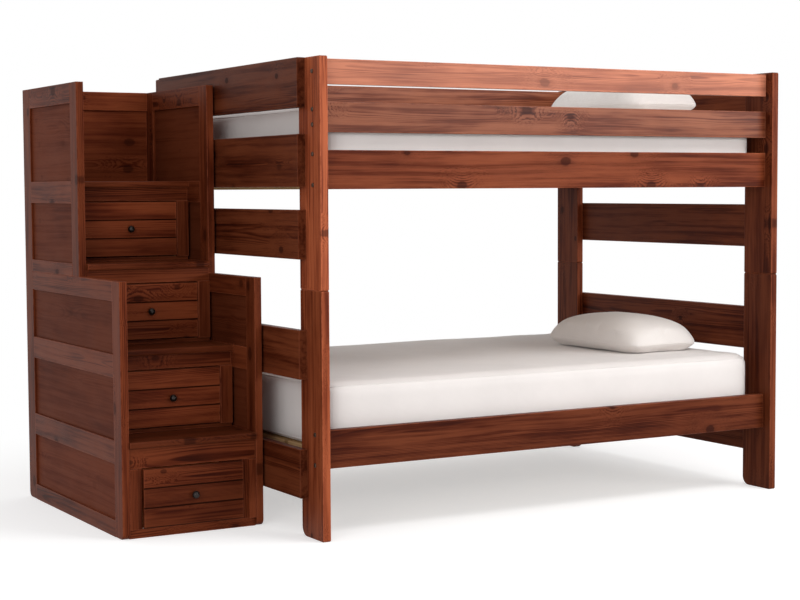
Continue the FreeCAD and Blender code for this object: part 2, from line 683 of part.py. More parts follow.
def tie(y, z, face_x):
    """Bolt with a flat head inside the stairs, and the spacer round it between the stairs and the bed."""
    head = rod(TIE_HEAD_RADIUS, Vec(STAIR_INNER_RIGHT - TIE_HEAD_THICKNESS, y, z), X_AXIS, TIE_HEAD_THICKNESS)
    shank = rod(TIE_RADIUS, Vec(STAIR_INNER_RIGHT, y, z), X_AXIS, face_x + TIE_REACH - STAIR_INNER_RIGHT)
    spacer = rod(TIE_SPACER_RADIUS, Vec(STAIR_RIGHT, y, z), X_AXIS, face_x - STAIR_RIGHT)
    return [head.fuse(shank).removeSplitter(), spacer.cut(tie_hole(y, z, STAIR_RIGHT, face_x))]


# ================================================================ assembly
def bed_nodes():
    nodes = {}
    lower, upper = front_left_posts()
    for level, post in (("lower", lower), ("upper", upper)):
        nodes[f"post_front_left_{level}"] = post
        nodes[f"post_back_left_{level}"] = drilled_for_ties(mirrored_in_depth(post), 0.0)
        nodes[f"post_front_right_{level}"] = mirrored_in_length(post)
        nodes[f"post_back_right_{level}"] = mirrored_in_depth(mirrored_in_length(post))
    for name, z, width in END_BOARDS:
        plank = end_board(z, width)
        nodes[f"left_{name}"] = drilled_for_ties(plank, BED_LEFT)
        nodes[f"right_{name}"] = mirrored_in_length(plank)
    for name, z, width, offsets in RAILS:
        rail = front_rail(z, width, offsets)
        nodes[f"front_{name}"] = rail
        nodes[f"back_{name}"] = mirrored_in_depth(rail)
    nodes["rail_bolts"] = at_four_corners([rail_bolt(z) for z in bolt_heights()])
    nodes["barrel_nuts"] = at_four_corners([barrel_nut(z) for z in bolt_heights()])
    nodes["stacking_pins"] = at_four_corners([stacking_pin()])
    ledgers = [ledger(LOWER_RAIL_Z), ledger(UPPER_RAIL_Z)]
    nodes["slat_ledgers"] = ledgers + [mirrored_in_depth(strip) for strip in ledgers]
    for level, rail_z in (("lower", LOWER_RAIL_Z), ("upper", UPPER_RAIL_Z)):
        nodes[f"{level}_slats"] = slats(rail_z)
        nodes[f"{level}_mattress"] = mattress(rail_z)
        nodes[f"{level}_pillow"] = pillow(rail_z)
    return nodes


def stair_nodes():
    nodes = {}
    members, panels = left_side()
    nodes["stair_left_frame"] = members
    nodes["stair_left_panels"] = panels
    right_members = [mirrored_in_stair(member) for member in members]
    ties = []
    for y, z, face_x in tie_places():
        hole = tie_hole(y, z, STAIR_INNER_RIGHT, STAIR_RIGHT)
        right_members = [member.cut(hole) for member in right_members]
        ties += tie(y, z, face_x)
    nodes["stair_right_frame"] = right_members
    nodes["stair_right_panels"] = [mirrored_in_stair(panel) for panel in panels]
    nodes["stair_back"] = back_frame()
    nodes["stair_ties"] = ties
    frames = []
    runners = []
    for step in range(1, STEP_COUNT + 1):
        nodes[f"tread_{step}"] = tread(step)
        frames += face_frame(step)
        runner = drawer_runner(step)
        runners += runner + [mirrored_in_stair(strip) for strip in runner]
        nodes[f"drawer_front_{step}"] = drawer_front(step)
        nodes[f"drawer_box_{step}"] = drawer_box(step)
        nodes[f"drawer_knob_{step}"] = drawer_knob(step)
    nodes["face_frames"] = frames
    nodes["drawer_runners"] = runners
    return nodes


def main():
    os.makedirs("parts", exist_ok=True)
    nodes = bed_nodes()
    nodes.update(stair_nodes())
    for name, shape in nodes.items():
        solid = Part.makeCompound(shape) if isinstance(shape, list) else shape.copy()
        solid.translate(-ORIGIN)
        solid.exportStep(f"parts/{name}.step")


main()
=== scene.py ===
import bpy
import json
import math
import random
from mathutils import Matrix, Vector, noise
from mathutils.bvhtree import BVHTree

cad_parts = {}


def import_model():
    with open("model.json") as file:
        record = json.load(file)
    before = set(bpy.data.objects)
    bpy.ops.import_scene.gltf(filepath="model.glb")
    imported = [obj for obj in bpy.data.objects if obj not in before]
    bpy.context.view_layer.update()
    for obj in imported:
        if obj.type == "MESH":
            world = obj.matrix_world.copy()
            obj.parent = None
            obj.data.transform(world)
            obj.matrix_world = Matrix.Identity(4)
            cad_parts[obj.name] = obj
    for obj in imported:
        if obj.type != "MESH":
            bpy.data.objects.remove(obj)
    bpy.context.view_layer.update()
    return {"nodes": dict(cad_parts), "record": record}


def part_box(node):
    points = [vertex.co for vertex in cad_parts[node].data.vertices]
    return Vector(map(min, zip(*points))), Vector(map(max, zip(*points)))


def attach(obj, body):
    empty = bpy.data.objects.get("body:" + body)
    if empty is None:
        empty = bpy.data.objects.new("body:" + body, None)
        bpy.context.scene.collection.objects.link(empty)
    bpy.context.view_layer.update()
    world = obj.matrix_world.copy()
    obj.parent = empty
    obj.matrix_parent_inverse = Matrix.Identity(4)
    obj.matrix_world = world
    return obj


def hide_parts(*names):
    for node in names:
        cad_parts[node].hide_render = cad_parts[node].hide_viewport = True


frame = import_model()
nodes = frame["nodes"]
scene = bpy.context.scene
ROOT = "bed_and_stairs"
BODY_OF = {n: b for b, members in frame["record"]["behaviour"]["bodies"].items() for n in members}
SLOT_OF = {part["node"]: part["material_slot"] for part in frame["record"]["subparts"]}


# ---------------------------------------------------------------- camera, as in the photograph
SENSOR_MM = 36.0
FOCAL_PX = 1721.67
PICTURE_WIDTH_PX = 800
YAW, PITCH, ROLL = 29.8193, -3.7011, -0.3063
CAMERA_PLACE = (-3.5594, -6.1797, 1.2610)


def set_camera():
    data = bpy.data.cameras.new("camera")
    data.sensor_width = SENSOR_MM
    data.lens = FOCAL_PX / PICTURE_WIDTH_PX * SENSOR_MM
    data.clip_end = 100
    cam = bpy.data.objects.new("camera", data)
    scene.collection.objects.link(cam)
    yaw, pitch, roll = (math.radians(angle) for angle in (YAW, PITCH, ROLL))
    ahead = Vector((math.sin(yaw) * math.cos(pitch), math.cos(yaw) * math.cos(pitch), math.sin(pitch)))
    right = Vector((math.cos(yaw), -math.sin(yaw), 0))
    up = right.cross(ahead)
    x = right * math.cos(roll) + up * math.sin(roll)
    y = -right * math.sin(roll) + up * math.cos(roll)
    m = Matrix((x, y, -ahead)).transposed().to_4x4()
    m.translation = Vector(CAMERA_PLACE)
    cam.matrix_world = m
    scene.camera = cam


set_camera()


# ---------------------------------------------------------------- node helpers
class Shader:
    """Short way to write a material's nodes."""

    def __init__(self, name):
        self.mat = bpy.data.materials.new(name)
        self.mat.use_nodes = True
        self.tree = self.mat.node_tree
        self.bsdf = self.tree.nodes["Principled BSDF"]

    def put(self, socket, value):
        if isinstance(value, bpy.types.NodeSocket):
            self.tree.links.new(value, socket)
        elif value is not None:
            if socket.type == "RGBA" and len(value) == 3:
                value = (*value, 1.0)
            socket.default_value = value

    def node(self, kind, inputs=(), out=0, **props):
        n = self.tree.nodes.new(kind)
        for key, value in props.items():
            setattr(n, key, value)
        items = inputs.items() if isinstance(inputs, dict) else enumerate(inputs)
        for key, value in items:
            self.put(n.inputs[key], value)
        return n.outputs[out]

    def math(self, op, a, b=None, c=None, clamp=False):
        return self.node("ShaderNodeMath", [a, b, c], operation=op, use_clamp=clamp)

    def vec(self, op, a, b=None):
        if op == "SCALE":
            return self.node("ShaderNodeVectorMath", {0: a, "Scale": b}, operation=op)
        if op == "LENGTH":
            return self.node("ShaderNodeVectorMath", {0: a}, out="Value", operation=op)
        return self.node("ShaderNodeVectorMath", {0: a, 1: b}, operation=op)

    def split(self, v):
        n = self.tree.nodes.new("ShaderNodeSeparateXYZ")
        self.put(n.inputs[0], v)
        return n.outputs[0], n.outputs[1], n.outputs[2]

    def join(self, x, y, z):
        return self.node("ShaderNodeCombineXYZ", [x, y, z])

    def step(self, value, low, high, to_low=0.0, to_high=1.0):
        limits = {0: value, 1: low, 2: high, 3: to_low, 4: to_high}
        return self.node("ShaderNodeMapRange", limits, interpolation_type="SMOOTHSTEP")

    def noise(self, vector, scale=1.0, detail=2.0, rough=0.5, distortion=0.0, out="Fac"):
        return self.node(
            "ShaderNodeTexNoise",
            {"Vector": vector, "Scale": scale, "Detail": detail, "Roughness": rough, "Distortion": distortion},
            out=out,
        )

    def mix(self, fac, a, b, blend="MIX"):
        n = self.tree.nodes.new("ShaderNodeMix")
        n.data_type = "RGBA"
        n.blend_type = blend
        self.put(n.inputs[0], fac)
        self.put(n.inputs[6], a)
        self.put(n.inputs[7], b)
        return n.outputs[2]

    def attribute(self, name, out="Vector"):
        n = self.tree.nodes.new("ShaderNodeAttribute")
        n.attribute_name = name
        return n.outputs[out]

    def bump(self, height, distance, strength=1.0, normal=None):
        return self.node(
            "ShaderNodeBump", {"Height": height, "Distance": distance, "Strength": strength, "Normal": normal}
        )


# ---------------------------------------------------------------- wood
def wood(
    name, light, mid, dark,
    knots=1.0, gloss=0.38, specular=0.06, ring_gap=0.0042, contrast=1.0, streaks=1.0, wear=0.5,
):
    """Sawn and stained softwood: growth rings cut along the board, fibre streaks, knots and worn edges."""
    s = Shader(name)
    place = s.attribute("board_place")
    half = s.attribute("board_half")
    seed = s.attribute("board_seed")
    stain_and_light = s.attribute("board_stain_and_light", "Fac")
    sx, sy, _ = s.split(seed)
    px, py, pz = s.split(place)
    at = s.vec("ADD", place, s.vec("SCALE", seed, 23.0))
    # slow bend of the grain
    bend = s.noise(s.vec("MULTIPLY", at, (0.9, 3.5, 3.5)), 1.0, 2.0, out="Color")
    bend = s.vec("SUBTRACT", bend, (0.5, 0.5, 0.5))
    bent = s.vec("ADD", at, s.vec("MULTIPLY", bend, (0.0, 0.045, 0.045)))
    # knots, about one to a cell of the board's face
    cell = (2.4, 8.0, 0.0)
    knot_space = s.vec("MULTIPLY", bent, cell)
    vor = s.tree.nodes.new("ShaderNodeTexVoronoi")
    vor.voronoi_dimensions = "2D"
    vor.feature = "F1"
    s.put(vor.inputs["Vector"], knot_space)
    s.put(vor.inputs["Scale"], 1.0)
    s.put(vor.inputs["Randomness"], 0.9)
    away = s.vec("SUBTRACT", knot_space, vor.outputs["Position"])
    away = s.vec("MULTIPLY", away, (0.7 / cell[0], 1.0 / cell[1], 0.0))
    knot_far = s.vec("LENGTH", away)
    kr, kg, _ = s.split(vor.outputs["Color"])
    present = s.step(kg, 0.44, 0.47)
    knot_radius = s.math("MULTIPLY_ADD", kr, 0.010, 0.008)
    rough_edge = s.noise(at, 160.0, 2.0)
    knot_size = s.math("MULTIPLY", knot_radius, s.math("MULTIPLY_ADD", rough_edge, 0.5, 0.75))
    ratio = s.math("DIVIDE", knot_far, knot_size)
    core = s.math("MULTIPLY", s.step(ratio, 1.15, 0.75), s.math("MULTIPLY", present, knots), clamp=True)
    halo = s.math("MULTIPLY", s.step(ratio, 6.0, 1.0), s.math("MULTIPLY", present, knots), clamp=True)
    # growth rings round a pith line beside the board
    swing = s.noise(s.vec("MULTIPLY", at, (0.7, 1.2, 1.2)), 1.0, 2.0, 0.5)
    ripple = s.noise(s.vec("MULTIPLY", at, (3.5, 14.0, 14.0)), 1.0, 2.0, 0.5)
    ry = s.math("ADD", py, s.math("MULTIPLY_ADD", sx, 0.16, -0.08))
    rz = s.math("ADD", pz, s.math("MULTIPLY_ADD", sy, 0.06, 0.025))
    radius = s.vec("LENGTH", s.join(0.0, ry, rz))
    radius = s.math("MULTIPLY_ADD", swing, 0.042, radius)
    radius = s.math("MULTIPLY_ADD", ripple, 0.003, radius)
    radius = s.math("MULTIPLY_ADD", halo, 0.024, radius)
    ring = s.math("FRACT", s.math("DIVIDE", radius, ring_gap))
    late = s.math("MULTIPLY", s.step(ring, 0.3, 0.86), s.step(ring, 1.0, 0.88))
    strength = s.step(s.noise(s.vec("MULTIPLY", at, (1.3, 18.0, 18.0)), 1.0, 3.0, 0.6), 0.34, 0.66)
    strength = s.math("MAXIMUM", strength, halo)
    # fibre streaks, fine pores and the cloudiness of a wiped stain
    streak = s.noise(s.vec("MULTIPLY", bent, (1.1, 60.0, 60.0)), 1.0, 4.0, 0.62)
    smear = s.noise(s.vec("MULTIPLY", bent, (2.2, 22.0, 22.0)), 1.0, 3.0, 0.6)
    fibre = s.noise(s.vec("MULTIPLY", bent, (11.0, 520.0, 520.0)), 1.0, 3.0, 0.6)
    blotch = s.noise(s.vec("MULTIPLY", at, (2.0, 6.0, 6.0)), 1.0, 3.0, 0.6)
    elsewhere = s.vec("ADD", bent, (7.3, 1.9, 4.1))
    pale_streak = s.noise(s.vec("MULTIPLY", elsewhere, (1.7, 48.0, 48.0)), 1.0, 3.0, 0.6)
    # colour
    amount = s.math("MULTIPLY", s.math("MULTIPLY", late, strength), 0.42 * contrast)
    amount = s.math("MULTIPLY_ADD", s.step(streak, 0.36, 0.70), 0.36 * streaks, amount)
    amount = s.math("MULTIPLY_ADD", s.step(smear, 0.50, 0.72), 0.22 * streaks, amount)
    amount = s.math("ADD", amount, s.math("MULTIPLY_ADD", blotch, 1.0, -0.46), clamp=True)
    col = s.mix(s.step(amount, 0.0, 0.5), light, mid)
    col = s.mix(s.step(amount, 0.3, 0.95), col, dark)
    col = s.mix(s.math("MULTIPLY", s.step(fibre, 0.5, 0.72), 0.25), col, dark)
    col = s.mix(s.math("MULTIPLY", s.step(pale_streak, 0.53, 0.70), 0.5 * streaks), col, light)
    glow = s.math("MULTIPLY", s.math("MULTIPLY", halo, s.step(ratio, 1.1, 2.2)), s.math("SUBTRACT", 1.0, late))
    col = s.mix(s.math("MULTIPLY", glow, 0.6), col, light)
    knot_dark = tuple(c * 0.5 for c in dark)
    knot_rings = s.math("FRACT", s.math("MULTIPLY", ratio, 3.1))
    knot_col = s.mix(s.math("MULTIPLY", knot_rings, 0.6), dark, knot_dark)
    col = s.mix(s.math("MULTIPLY", core, 0.72), col, knot_col)
    # worn, lighter arrises
    hx, hy, hz = s.split(half)
    ax = s.math("SUBTRACT", hx, s.math("ABSOLUTE", px))
    ay = s.math("SUBTRACT", hy, s.math("ABSOLUTE", py))
    az = s.math("SUBTRACT", hz, s.math("ABSOLUTE", pz))
    edge = s.math("MAXIMUM", s.math("MINIMUM", ax, ay), s.math("MINIMUM", s.math("MAXIMUM", ax, ay), az))
    rub = s.math("MULTIPLY", s.step(edge, 0.0045, 0.0008), s.step(s.noise(at, 30.0, 3.0), 0.28, 0.6))
    col = s.mix(s.math("MULTIPLY", rub, wear), col, tuple(min(1.0, c * 1.6 + 0.015) for c in light))
    # each board's stain, scaled by a painted light and shade level per board and face
    col = s.vec("SCALE", col, stain_and_light)
    # the brightest boards fade towards pale wood: a painted sheen
    col = s.mix(s.step(stain_and_light, 1.2, 2.6, 0.0, 0.5), col, tuple(min(1.0, c * 1.5 + 0.10) for c in light))
    s.put(s.bsdf.inputs["Base Color"], col)
    # surface
    sheen = s.math("MULTIPLY_ADD", streak, 0.14, gloss - 0.07)
    sheen = s.math("ADD", sheen, s.math("MULTIPLY", s.noise(at, 9.0, 3.0), 0.08))
    s.put(s.bsdf.inputs["Roughness"], s.math("ADD", sheen, s.math("MULTIPLY", core, 0.08)))
    height = s.math("MULTIPLY_ADD", late, -0.25, s.math("MULTIPLY", fibre, 0.35))
    unevenness = s.noise(s.vec("MULTIPLY", at, (3.0, 9.0, 9.0)), 1.0, 2.0)
    height = s.math("ADD", height, s.math("MULTIPLY", unevenness, 1.2))
    height = s.math("ADD", height, s.math("MULTIPLY", core, 0.5))
    soft = s.node("ShaderNodeBevel", {"Radius": 0.0012}, samples=4)
    s.put(s.bsdf.inputs["Normal"], s.bump(height, 0.0006, 0.6, soft))
    s.bsdf.inputs["Specular IOR Level"].default_value = specular
    return s.mat


BED_WOOD = wood(
    "bed_wood", light=(0.290, 0.070, 0.026), mid=(0.132, 0.022, 0.0068), dark=(0.040, 0.0056, 0.0020)
)
GUARD_WOOD = wood(
    "guard_wood", light=(0.265, 0.084, 0.040), mid=(0.126, 0.027, 0.0105), dark=(0.042, 0.0072, 0.0030),
    gloss=0.34, specular=0.15,
)
STAIR_WOOD = wood(
    "stair_wood", light=(0.235, 0.052, 0.018), mid=(0.110, 0.018, 0.0058), dark=(0.028, 0.0042, 0.0017),
    knots=0.8, specular=0.045, streaks=0.8,
)
PANEL_WOOD = wood(
    "panel_wood", light=(0.165, 0.038, 0.015), mid=(0.105, 0.020, 0.0072), dark=(0.052, 0.0090, 0.0036),
    gloss=0.46, specular=0.022, knots=0.25, contrast=0.5, streaks=0.6,
)
DECK_WOOD = wood(
    "deck_wood", light=(0.52, 0.34, 0.17), mid=(0.42, 0.24, 0.105), dark=(0.22, 0.105, 0.04),
    gloss=0.56, wear=0.1,
)
BOX_WOOD = wood(
    "drawer_box_wood", light=(0.56, 0.38, 0.2), mid=(0.47, 0.29, 0.14), dark=(0.27, 0.14, 0.058),
    gloss=0.5, knots=0.5, wear=0.1,
)
WOOD_OF = {
    "bed_wood": BED_WOOD,
    "stair_wood": STAIR_WOOD,
    "deck_wood": DECK_WOOD,
    "drawer_box_wood": BOX_WOOD,
    "runner_wood": DECK_WOOD,
}


def solids_of(mesh):
    """Face indices of each closed solid. A solid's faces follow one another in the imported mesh."""
    spot = [tuple(round(c * 1e5) for c in v.co) for v in mesh.vertices]
    groups, current, open_edges = [], [], {}
    for face in mesh.polygons:
        current.append(face.index)
        ring = [spot[i] for i in face.vertices]
        for a, b in zip(ring, ring[1:] + ring[:1]):
            if a == b:
                continue
            if open_edges.get((b, a), 0) > 0:
                open_edges[(b, a)] -= 1
                if open_edges[(b, a)] == 0:
                    del open_edges[(b, a)]
            else:
                open_edges[(a, b)] = open_edges.get((a, b), 0) + 1
        if not open_edges:
            groups.append(current)
            current = []
    if current:
        groups.append(current)
    return groups


# How light each board comes out beside the plain stain. The values match how bright each board looks
# in the photograph, its light included, so they are painted light and shade: the lit upper front rails and
# posts come out lighter, boards in shade darker. The first name that fits is used.
STAIN_AND_LIGHT_TONES = (
    ("front_top_guard", 1.95), ("front_mid_guard", 0.84),
    ("front_upper_side", 0.71), ("front_lower_side", 0.53),
    ("back_top_guard", 1.2), ("back_mid_guard", 1.2), ("back_", 0.8),
    ("post_front_left_upper", 1.5), ("post_front_left_lower", 0.80),
    ("post_front_right", 0.48), ("post_", 0.55),
    ("left_top_board", 0.42), ("left_", 0.50), ("right_", 0.55),
    ("drawer_front_1", 0.62), ("drawer_front", 0.95), ("face_frames", 0.70),
    ("tread_1", 0.44), ("tread_2", 0.50), ("tread_3", 0.56), ("tread_4", 0.64),
    ("stair_left_frame", 0.66), ("stair_left_panels", 0.80),
    ("stair_right_panels", 0.7), ("stair_right", 0.70),
    ("stair_back", 1.05),
)
GROOVE_TONE = 0.25
EDGE_TONE = 1.12
# posts' narrow faces lighter still: a painted sheen
POST_EDGE_SHEEN = 1.55
DRAWER_PLANKS = 3


def facing_stain_and_sheen(name, normal, across):
    """Lighter narrow faces of the boards, on the posts a painted sheen, and V grooves darkened by the stain
    that gathers in them.
    """
    if name.startswith("drawer_front") and 0.2 < abs(normal.z) < 0.95:
        return GROOVE_TONE
    if abs(normal[across]) > 0.8:
        if name.startswith("post_") and name != "post_front_left_upper":
            return POST_EDGE_SHEEN
        return EDGE_TONE
    return 1.0


def dress_wood(name, material, planks=0):
    """Puts each board of a node into its own grain frame: along, across and through the board."""
    source = nodes[name]
    mesh = source.data.copy()
    mesh.name = "boards_" + name
    mesh.materials.clear()
    mesh.materials.append(material)
    corners = len(mesh.loops)
    place, half, seed = ([0.0] * (3 * corners) for _ in range(3))
    stain_and_light = [0.0] * corners
    # painted light and shade level of this board, from the table
    board_stain_and_light = next((value for start, value in STAIN_AND_LIGHT_TONES if name.startswith(start)), 1.0)
    for index, faces in enumerate(solids_of(mesh)):
        points = [mesh.vertices[v].co for f in faces for v in mesh.polygons[f].vertices]
        low = Vector(tuple(min(p[i] for p in points) for i in range(3)))
        high = Vector(tuple(max(p[i] for p in points) for i in range(3)))
        centre, size = (low + high) / 2, high - low
        order = sorted(range(3), key=lambda i: -size[i])
        for f in faces:
            face = mesh.polygons[f]
            strip = 0
            if planks:
                strip = min(planks - 1, max(0, int((face.center.z - low.z) / size.z * planks)))
            rnd = random.Random(f"{name}/{index}/{strip}")
            face_seed = (rnd.random(), rnd.random(), rnd.random())
            # table's painted light level, times a random spread of the stain, times the facing factor
            face_stain_and_light = board_stain_and_light * (0.88 + 0.24 * rnd.random()) * facing_stain_and_sheen(name, face.normal, order[1])
            for corner in face.loop_indices:
                p = mesh.vertices[mesh.loops[corner].vertex_index].co - centre
                place[3 * corner:3 * corner + 3] = [p[i] for i in order]
                half[3 * corner:3 * corner + 3] = [size[i] / 2 for i in order]
                seed[3 * corner:3 * corner + 3] = face_seed
                stain_and_light[corner] = face_stain_and_light
    for label, kind, field, values in (
        ("board_place", "FLOAT_VECTOR", "vector", place),
        ("board_half", "FLOAT_VECTOR", "vector", half),
        ("board_seed", "FLOAT_VECTOR", "vector", seed),
        ("board_stain_and_light", "FLOAT", "value", stain_and_light),
    ):
        mesh.attributes.new(label, kind, "CORNER").data.foreach_set(field, values)
    piece = bpy.data.objects.new("wood_" + name, mesh)
    scene.collection.objects.link(piece)
    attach(piece, BODY_OF[name])
    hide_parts(name)
    return piece


for node_name in sorted(nodes):
    slot_name = SLOT_OF[node_name]
    if slot_name in WOOD_OF:
        timber = WOOD_OF[slot_name]
        if node_name.endswith("_panels"):
            timber = PANEL_WOOD
        elif node_name.endswith("_guard_rail"):
            timber = GUARD_WOOD
        dress_wood(node_name, timber, planks=DRAWER_PLANKS if node_name.startswith("drawer_front") else 0)


# ---------------------------------------------------------------- metal
def metal(name, colour, rough, metallic=1.0):
    s = Shader(name)
    at = s.node("ShaderNodeTexCoord", out="Object")
    grime = s.noise(at, 60.0, 4.0)
    fine = s.noise(at, 420.0, 3.0)
    col = s.mix(s.step(grime, 0.35, 0.75), colour, tuple(c * 0.55 for c in colour))
    s.put(s.bsdf.inputs["Base Color"], col)
    s.put(s.bsdf.inputs["Roughness"], s.math("MULTIPLY_ADD", grime, 0.18, rough - 0.09))
    s.bsdf.inputs["Metallic"].default_value = metallic
    s.put(s.bsdf.inputs["Normal"], s.bump(fine, 0.0002, 0.25))
    return s.mat


KNOB = metal("knob_metal", (0.030, 0.024, 0.022), 0.30, metallic=0.7)
STEEL = metal("steel_fittings", (0.13, 0.085, 0.065), 0.42)
for node_name in nodes:
    slot_name = SLOT_OF[node_name]
    for wanted, look in (("knob_metal", KNOB), ("steel_fittings", STEEL)):
        if slot_name == wanted:
            for holder in nodes[node_name].material_slots:
                holder.material = look


# ---------------------------------------------------------------- fabric
def fabric(name, colour, thread, rough=0.85, fold=0.4, fold_scale=5.0):
    s = Shader(name)
    at = s.node("ShaderNodeTexCoord", out="Object")
    wave_x, wave_y, wave_z = (
        s.node(
            "ShaderNodeTexWave",
            {"Vector": at, "Scale": 1.0 / thread / 6.283, "Distortion": 0.6, "Detail": 1.0},
            bands_direction=axis, out="Fac",
        )
        for axis in "XYZ"
    )
    weave = s.math("ADD", s.math("MULTIPLY", wave_x, wave_y), s.math("MULTIPLY", wave_z, 0.6))
    mottle = s.noise(at, 3.0, 4.0, 0.6)
    nap = s.noise(at, 240.0, 3.0)
    col = s.mix(s.step(mottle, 0.25, 0.8), colour, tuple(c * 0.93 for c in colour))
    col = s.mix(s.math("MULTIPLY", weave, 0.10), col, tuple(c * 0.8 for c in colour))
    s.put(s.bsdf.inputs["Base Color"], col)
    s.put(s.bsdf.inputs["Roughness"], s.math("MULTIPLY_ADD", nap, 0.12, rough - 0.06))
    folds = s.noise(s.vec("MULTIPLY", at, (1.0, 1.4, 2.0)), fold_scale, 3.0, 0.55, 0.6)
    rough_normal = s.bump(folds, 0.012, fold)
    s.put(s.bsdf.inputs["Normal"], s.bump(s.math("ADD", weave, nap), 0.0005, 0.5, rough_normal))
    s.bsdf.inputs["Sheen Weight"].default_value = 0.25
    s.bsdf.inputs["Sheen Roughness"].default_value = 0.5
    s.bsdf.inputs["Specular IOR Level"].default_value = 0.2
    return s.mat


TICKING = fabric("mattress_fabric", (0.82, 0.77, 0.745), 0.0022, fold=0.10, fold_scale=4.0)
PIPING = fabric("piping_fabric", (0.80, 0.75, 0.725), 0.0016, fold=0.0)
COTTON = fabric("pillow_fabric", (0.84, 0.79, 0.755), 0.0012, fold=0.22, fold_scale=7.0)


def mesh_object(name, verts, faces, material):
    mesh = bpy.data.meshes.new(name)
    mesh.from_pydata(verts, [], faces)
    mesh.materials.append(material)
    for face in mesh.polygons:
        face.use_smooth = True
    obj = bpy.data.objects.new(name, mesh)
    scene.collection.objects.link(obj)
    return obj


def applied(obj):
    """Replaces obj's mesh by what its modifiers make of it."""
    depsgraph = bpy.context.evaluated_depsgraph_get()
    mesh = bpy.data.meshes.new_from_object(obj.evaluated_get(depsgraph))
    for face in mesh.polygons:
        face.use_smooth = True
    obj.modifiers.clear()
    obj.data = mesh


def inflated(obj, voxel, pressure, cap, frames=20, stiffness=15.0):
    """Remeshes a closed form evenly and lets cloth pressure plump it, moving no point more than cap."""
    remesh = obj.modifiers.new("remesh", "REMESH")
    remesh.mode = "VOXEL"
    remesh.voxel_size = voxel
    applied(obj)
    before = [v.co.copy() for v in obj.data.vertices]
    cloth = obj.modifiers.new("cloth", "CLOTH")
    cloth.settings.use_pressure = True
    cloth.settings.uniform_pressure_force = pressure
    cloth.settings.effector_weights.gravity = 0
    cloth.settings.quality = 5
    cloth.settings.tension_stiffness = stiffness
    cloth.settings.compression_stiffness = stiffness
    cloth.settings.shear_stiffness = stiffness * 0.4
    cloth.settings.bending_stiffness = 0.4
    cloth.point_cache.frame_start = 1
    cloth.point_cache.frame_end = frames
    for number in range(1, frames + 1):
        scene.frame_set(number)
    applied(obj)
    scene.frame_set(1)
    for v, old in zip(obj.data.vertices, before):
        move = v.co - old
        if move.length > cap:
            v.co = old + move.normalized() * cap


# ---------------------------------------------------------------- mattresses
CORNER = 0.058
RIM = 0.040
SWELL = 0.006
TAPE_INSET = 0.012
TAPE_RADIUS = 0.0024


def rounded_path(low, high, z, corner, inset, spacing=0.02):
    """Points round a rounded rectangle, at an even spacing."""
    x0, x1 = low.x + inset, high.x - inset
    y0, y1 = low.y + inset, high.y - inset
    r = corner
    path = []

    def line(a, b):
        steps = max(1, round((b - a).length / spacing))
        for i in range(steps):
            path.append(a.lerp(b, i / steps))

    def arc(cx, cy, start):
        steps = 8
        for i in range(steps):
            a = start + math.pi / 2 * i / steps
            path.append(Vector((cx + r * math.cos(a), cy + r * math.sin(a), z)))

    line(Vector((x0 + r, y0, z)), Vector((x1 - r, y0, z)))
    arc(x1 - r, y0 + r, -math.pi / 2)
    line(Vector((x1, y0 + r, z)), Vector((x1, y1 - r, z)))
    arc(x1 - r, y1 - r, 0.0)
    line(Vector((x1 - r, y1, z)), Vector((x0 + r, y1, z)))
    arc(x0 + r, y1 - r, math.pi / 2)
    line(Vector((x0, y1 - r, z)), Vector((x0, y0 + r, z)))
    arc(x0 + r, y0 + r, math.pi)
    return path


def mattress_form(low, high):
    """Slab with rounded corners and rims, built from level loops that draw in towards its two faces."""
    steps = 6
    levels = []
    for k in range(steps + 1):
        a = math.pi / 2 * k / steps
        levels.append((low.z + RIM * (1 - math.cos(a)), RIM * (1 - math.sin(a))))
    levels += [(low.z + high.z - z, inset) for z, inset in reversed(levels)]
    verts, faces = [], []
    for z, inset in levels:
        verts += rounded_path(low, high, z, CORNER - inset, inset)
    count = len(verts) // len(levels)
    for i in range(len(levels) - 1):
        for k in range(count):
            m = (k + 1) % count
            faces.append((i * count + k, i * count + m, (i + 1) * count + m, (i + 1) * count + k))
    faces.append(tuple(reversed(range(count))))
    faces.append(tuple(range(len(verts) - count, len(verts))))
    return mesh_object("mattress_form", verts, faces, TICKING)


def ring_tube(name, path, radius, material, sides=10):
    """Closed tube along a closed path in a level plane or nearly so."""
    count = len(path)
    verts, faces = [], []
    for i, p in enumerate(path):
        ahead = (path[(i + 1) % count] - path[i - 1]).normalized()
        side = ahead.cross(Vector((0, 0, 1))).normalized()
        lift = side.cross(ahead).normalized()
        for k in range(sides):
            a = 2 * math.pi * k / sides
            verts.append(p + side * math.cos(a) * radius + lift * math.sin(a) * radius)
    for i in range(count):
        j = (i + 1) % count
        for k in range(sides):
            m = (k + 1) % sides
            faces.append((i * sides + k, j * sides + k, j * sides + m, i * sides + m))
    return mesh_object(name, verts, faces, material)


def mattress(name, shape):
    """One mattress: the inflated slab, and tape edges round its top and bottom rims."""
    low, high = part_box(name)
    obj = bpy.data.objects.new("soft_" + name, shape.data.copy())
    scene.collection.objects.link(obj)
    base = Vector(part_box("lower_mattress")[0])
    shift = Vector(low) - base
    for v in obj.data.vertices:
        v.co += shift
    obj.data.materials.clear()
    obj.data.materials.append(TICKING)
    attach(obj, ROOT)
    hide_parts(name)
    places = [v.co for v in obj.data.vertices]
    surface = BVHTree.FromPolygons(places, [f.vertices[:] for f in obj.data.polygons])
    for label, z in (("top", high[2] - TAPE_INSET), ("bottom", low[2] + TAPE_INSET)):
        path = rounded_path(Vector(low), Vector(high), z, CORNER - TAPE_INSET, TAPE_INSET)
        path = [surface.find_nearest(p)[0] for p in path]
        tape = ring_tube(f"tape_{label}_{name}", path, TAPE_RADIUS, PIPING)
        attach(tape, ROOT)


